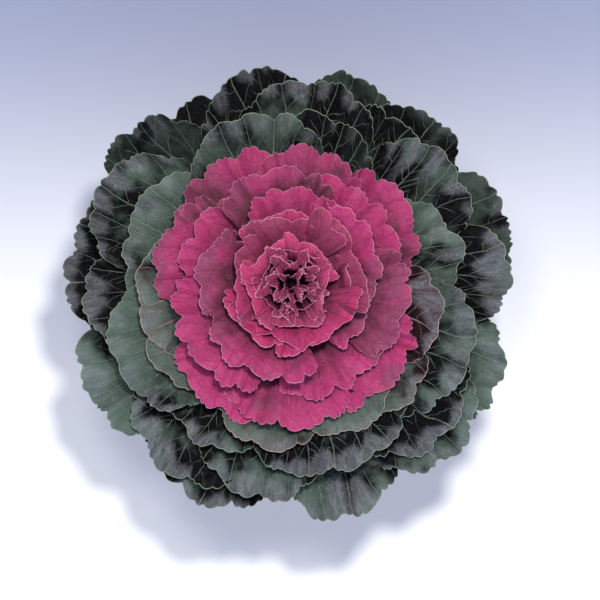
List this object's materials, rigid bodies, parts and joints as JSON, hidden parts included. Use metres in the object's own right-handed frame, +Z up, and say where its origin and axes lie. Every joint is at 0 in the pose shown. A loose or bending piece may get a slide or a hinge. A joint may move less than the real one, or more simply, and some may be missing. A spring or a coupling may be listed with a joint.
{
  "type": "potted ornamental kale",
  "caption": "Ornamental kale with a broad ruffled rosette, green at the skirt and magenta at the heart, growing on a short stem in a plain round clay flowerpot.",
  "frame": {"origin": "centre of the surface that the pot stands on, under the pot's axis", "axes": "+Z up along the pot's axis; +X and +Y level, with +Y towards the top of the reference view"},
  "size_m": [0.2909, 0.2927, 0.2581],
  "materials": {
    "clay": "matt unglazed terracotta",
    "peat": "rough and crumbly",
    "bark": "satin, with leaf scars",
    "green_leaf": "waxy satin, dark grey-green to purple with pale veins",
    "green_and_rose_leaf": "waxy satin, grey-green with rose veins and rim",
    "magenta_leaf": "waxy satin, magenta with a pale rim",
    "crimson_leaf": "waxy satin, crimson with a pale frilled rim",
    "heart": "waxy satin, deep crimson"
  },
  "bodies": {
    "root": {"clay_pot": "clay", "potting_mix": "peat", "stem": "bark", "skirt_leaf_01": "green_leaf", "skirt_leaf_02": "green_leaf", "skirt_leaf_03": "green_leaf", "skirt_leaf_04": "green_leaf", "skirt_leaf_05": "green_leaf", "skirt_leaf_06": "green_leaf", "skirt_leaf_07": "green_leaf", "skirt_leaf_08": "green_leaf", "skirt_leaf_09": "green_leaf", "skirt_leaf_10": "green_leaf", "skirt_leaf_11": "green_leaf", "skirt_leaf_12": "green_leaf", "outer_leaf_01": "green_leaf", "outer_leaf_02": "green_leaf", "outer_leaf_03": "green_leaf", "outer_leaf_04": "green_leaf", "outer_leaf_05": "green_leaf", "outer_leaf_06": "green_leaf", "outer_leaf_07": "green_leaf", "outer_leaf_08": "green_leaf", "outer_leaf_09": "green_leaf", "middle_leaf_01": "green_leaf", "middle_leaf_02": "green_leaf", "middle_leaf_03": "green_leaf", "middle_leaf_04": "green_leaf", "middle_leaf_05": "green_leaf", "middle_leaf_06": "green_leaf", "middle_leaf_07": "green_leaf", "middle_leaf_08": "green_leaf", "collar_leaf_01": "green_and_rose_leaf", "collar_leaf_02": "green_and_rose_leaf", "collar_leaf_03": "green_and_rose_leaf", "collar_leaf_04": "green_and_rose_leaf", "collar_leaf_05": "green_and_rose_leaf", "collar_leaf_06": "green_and_rose_leaf", "crown_leaf_01": "magenta_leaf", "crown_leaf_02": "magenta_leaf", "crown_leaf_03": "magenta_leaf", "crown_leaf_04": "magenta_leaf", "crown_leaf_05": "magenta_leaf", "crown_leaf_06": "magenta_leaf", "crown_leaf_07": "magenta_leaf", "rose_leaf_01": "magenta_leaf", "rose_leaf_02": "magenta_leaf", "rose_leaf_03": "magenta_leaf", "rose_leaf_04": "magenta_leaf", "rose_leaf_05": "magenta_leaf", "rose_leaf_06": "magenta_leaf", "inner_leaf_01": "magenta_leaf", "inner_leaf_02": "magenta_leaf", "inner_leaf_03": "magenta_leaf", "inner_leaf_04": "magenta_leaf", "inner_leaf_05": "magenta_leaf", "centre_leaf_01": "crimson_leaf", "centre_leaf_02": "crimson_leaf", "centre_leaf_03": "crimson_leaf", "heart_bud": "heart"}
  },
  "joints": []
}
